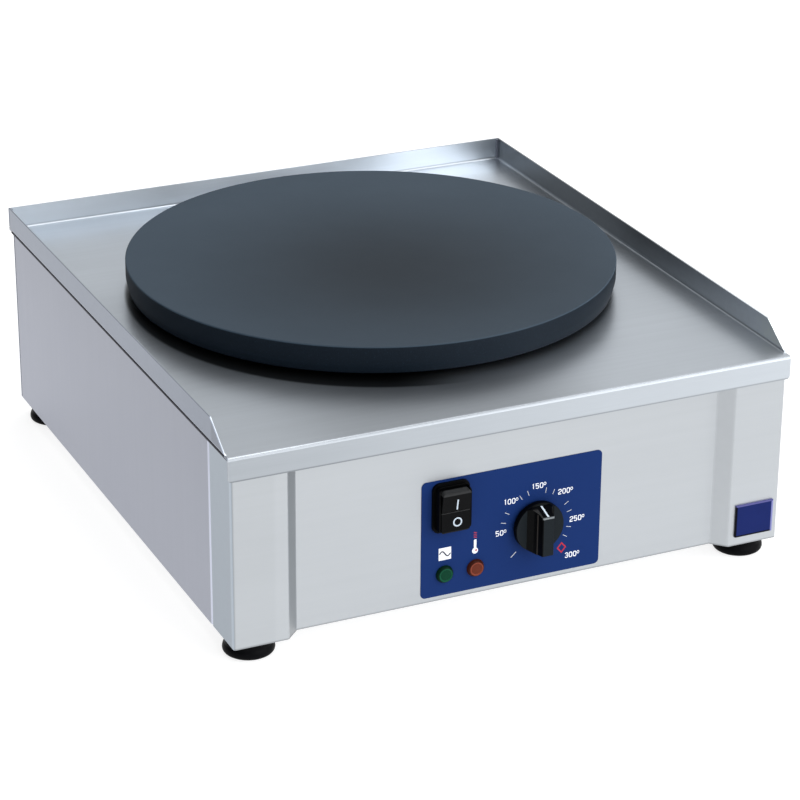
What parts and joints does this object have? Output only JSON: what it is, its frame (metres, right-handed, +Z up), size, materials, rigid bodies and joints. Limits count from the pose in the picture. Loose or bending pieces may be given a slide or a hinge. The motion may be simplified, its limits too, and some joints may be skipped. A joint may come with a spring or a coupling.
{
  "type": "electric crepe maker",
  "caption": "Countertop electric crepe maker: a round flat griddle plate on a folded steel tray and casing, with a rocker switch, pilot lamps, a thermostat knob and feet.",
  "frame": {"origin": "middle of the whole object's footprint, on the surface that the feet stand on", "axes": "+Z up, +Y towards the back, +X to the right of the user, who stands in front at -Y"},
  "size_m": [0.467, 0.534, 0.1972],
  "materials": {
    "stainless": "brushed stainless sheet",
    "galvanised": "galvanised sheet",
    "foot_rubber": "moulded rubber",
    "zinc": "zinc-plated steel",
    "cast_iron": "dark seasoned cast iron, fine matt grain",
    "spacer": "blackened steel",
    "element_sheath": "heat-darkened sheath",
    "insulation": "pressed mineral fibre",
    "cutout_body": "phenolic",
    "label": "printed blue film",
    "badge": "blue enamelled, bare",
    "knob": "black phenolic",
    "pointer": "white inlay",
    "inner_black": "black phenolic",
    "brass": "bright",
    "copper": "copper, drawn",
    "switch_black": "black nylon",
    "rocker": "black, slightly glossy",
    "green_lens": "green tinted lens, unlit",
    "amber_lens": "amber tinted lens, unlit",
    "nylon": "natural nylon",
    "gland_black": "black polyamide",
    "brown_wire": "brown insulation",
    "cream_wire": "cream heat-resistant sleeve",
    "blue_wire": "blue insulation"
  },
  "bodies": {
    "casing": {"tray": "stainless", "fascia": "stainless", "left_side_panel": "stainless", "right_side_panel": "stainless", "rear_panel": "stainless", "base_plate": "galvanised", "foot_front_left": "foot_rubber", "foot_front_right": "foot_rubber", "foot_rear_left": "foot_rubber", "foot_rear_right": "foot_rubber", "foot_screws": "zinc", "foot_nuts": "zinc", "rear_screws": "zinc", "griddle_plate": "cast_iron", "plate_spacers": "spacer", "plate_studs": "zinc", "plate_nuts": "zinc", "heating_element": "element_sheath", "element_clamp": "galvanised", "clamp_bolt": "zinc", "heat_shield_pan": "galvanised", "pan_screws": "zinc", "insulation_disc": "insulation", "thermal_cutout": "cutout_body", "control_label": "label", "badge_plate": "badge", "thermostat_body": "inner_black", "thermostat_terminals": "brass", "thermostat_screws": "zinc", "thermostat_bulb": "copper", "bulb_clip": "galvanised", "capillary_tube": "copper", "switch_housing": "switch_black", "switch_terminals": "brass", "power_lamp_lens": "green_lens", "power_lamp_holder": "nylon", "heat_lamp_lens": "amber_lens", "heat_lamp_holder": "nylon", "terminal_block": "nylon", "terminal_screws": "brass", "earth_stud": "brass", "cable_gland": "gland_black", "gland_nut": "gland_black", "supply_wires": "brown_wire", "element_wires": "cream_wire", "lamp_wires": "blue_wire"},
    "knob": {"control_knob": "knob", "knob_pointer": "pointer", "thermostat_shaft": "zinc"},
    "rocker": {"switch_rocker": "rocker"}
  },
  "joints": [
    {"name": "knob_turn", "type": "hinge", "parent": "casing", "child": "knob", "pos_m": [0.0216, -0.24555, 0.0637], "axis": [0, 1, 0], "range_deg": [-133, 134]},
    {"name": "rocker_press", "type": "hinge", "parent": "casing", "child": "rocker", "pos_m": [-0.0514, -0.24805, 0.0935], "axis": [-1, 0, 0], "range_deg": [0, 10]}
  ]
}
